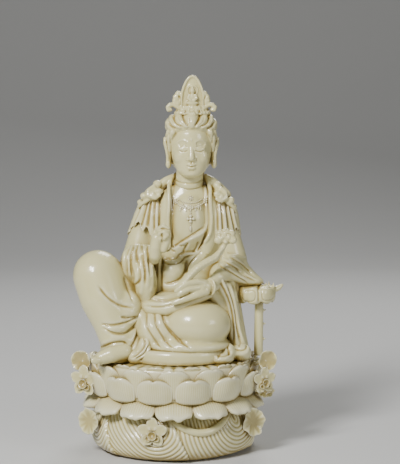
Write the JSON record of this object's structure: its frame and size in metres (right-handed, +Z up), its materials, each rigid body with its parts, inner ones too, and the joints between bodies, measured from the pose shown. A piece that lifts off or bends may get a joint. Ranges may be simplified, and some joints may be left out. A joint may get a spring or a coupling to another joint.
{
  "type": "seated guanyin figure on a lotus plinth",
  "caption": "Glazed porcelain seated guanyin figure with a raised knee, resting one arm on a lotus-leaf stand, on a lotus throne over carved waves.",
  "frame": {"origin": "middle of the flat underside of the plinth", "axes": "+Z up along the figure's height, -Y the way the figure faces, +X to the viewer's right"},
  "size_m": [0.2271, 0.1939, 0.3997],
  "materials": {
    "porcelain": "ivory-white porcelain under a clear glossy glaze that pools warm in the recesses"
  },
  "bodies": {
    "root": {"lotus_wave_plinth": "porcelain", "guanyin_figure": "porcelain", "lotus_leaf_armrest": "porcelain"}
  },
  "joints": []
}
